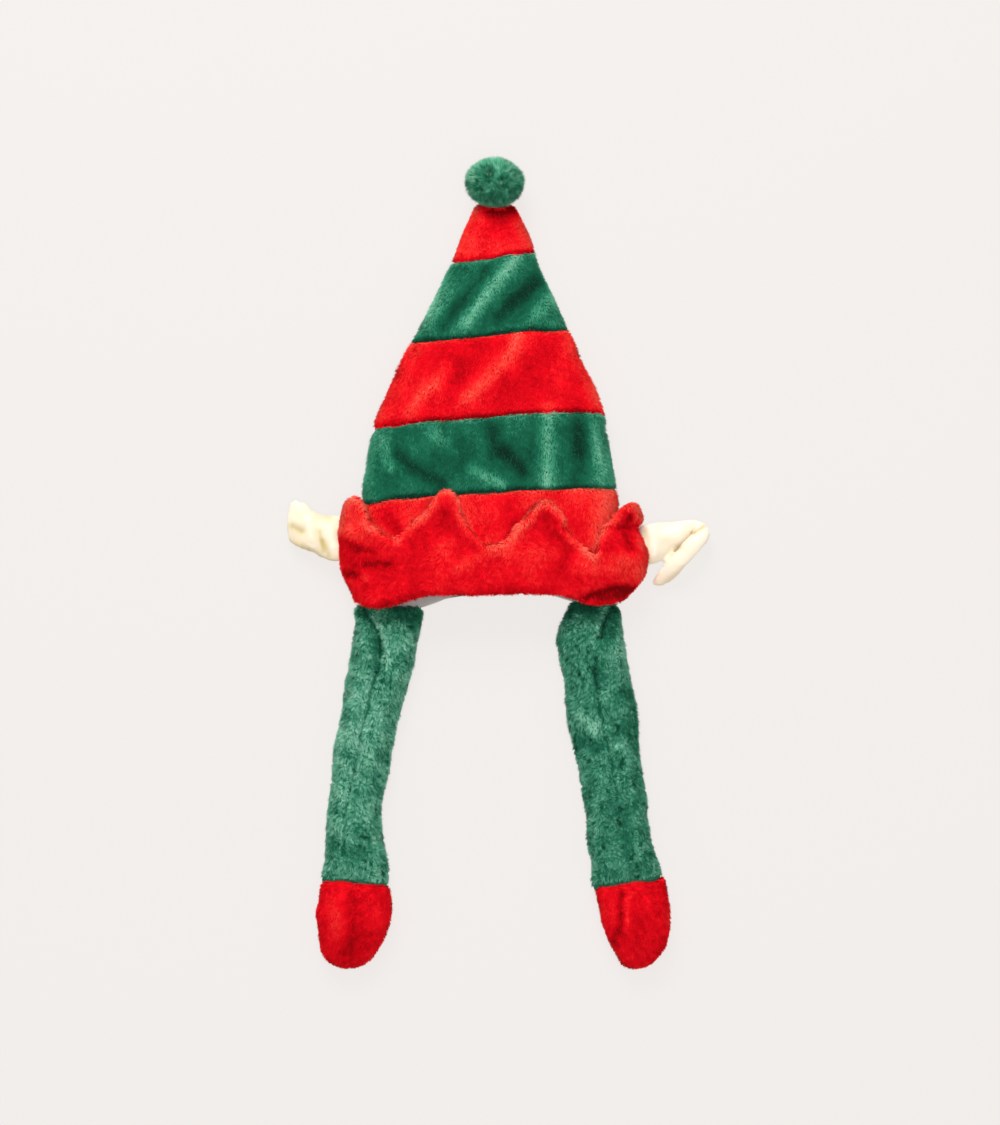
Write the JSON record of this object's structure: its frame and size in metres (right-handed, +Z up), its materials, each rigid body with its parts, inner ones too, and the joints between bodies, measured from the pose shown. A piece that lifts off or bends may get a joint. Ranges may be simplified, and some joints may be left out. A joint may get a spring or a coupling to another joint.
{
  "type": "elf costume hat",
  "caption": "Plush elf hat lying flat: striped cone with a pompom, turned-up zigzag cuff, velour ears, and plush legs with feet at the hem.",
  "frame": {"origin": "on the table, under the middle of the cuff's back, where the hat rests", "axes": "+Y from the hem to the pompom, +X to the right seen from above, +Z up from the table"},
  "size_m": [0.4423, 0.8436, 0.063],
  "materials": {
    "red_plush": "matte",
    "green_plush": "matte",
    "green_leg_plush": "matte",
    "pompom_yarn": "matte",
    "cream_velour": "matte",
    "lining_cloth": "satin"
  },
  "bodies": {
    "root": {"crown_tip": "red_plush", "crown_band_upper_green": "green_plush", "crown_band_red": "red_plush", "crown_band_lower_green": "green_plush", "crown_band_base": "red_plush", "cuff": "red_plush", "lining": "lining_cloth", "pompom": "pompom_yarn", "ear_left": "cream_velour", "ear_right": "cream_velour", "leg_left": "green_leg_plush", "leg_right": "green_leg_plush", "foot_left": "red_plush", "foot_right": "red_plush"}
  },
  "joints": []
}
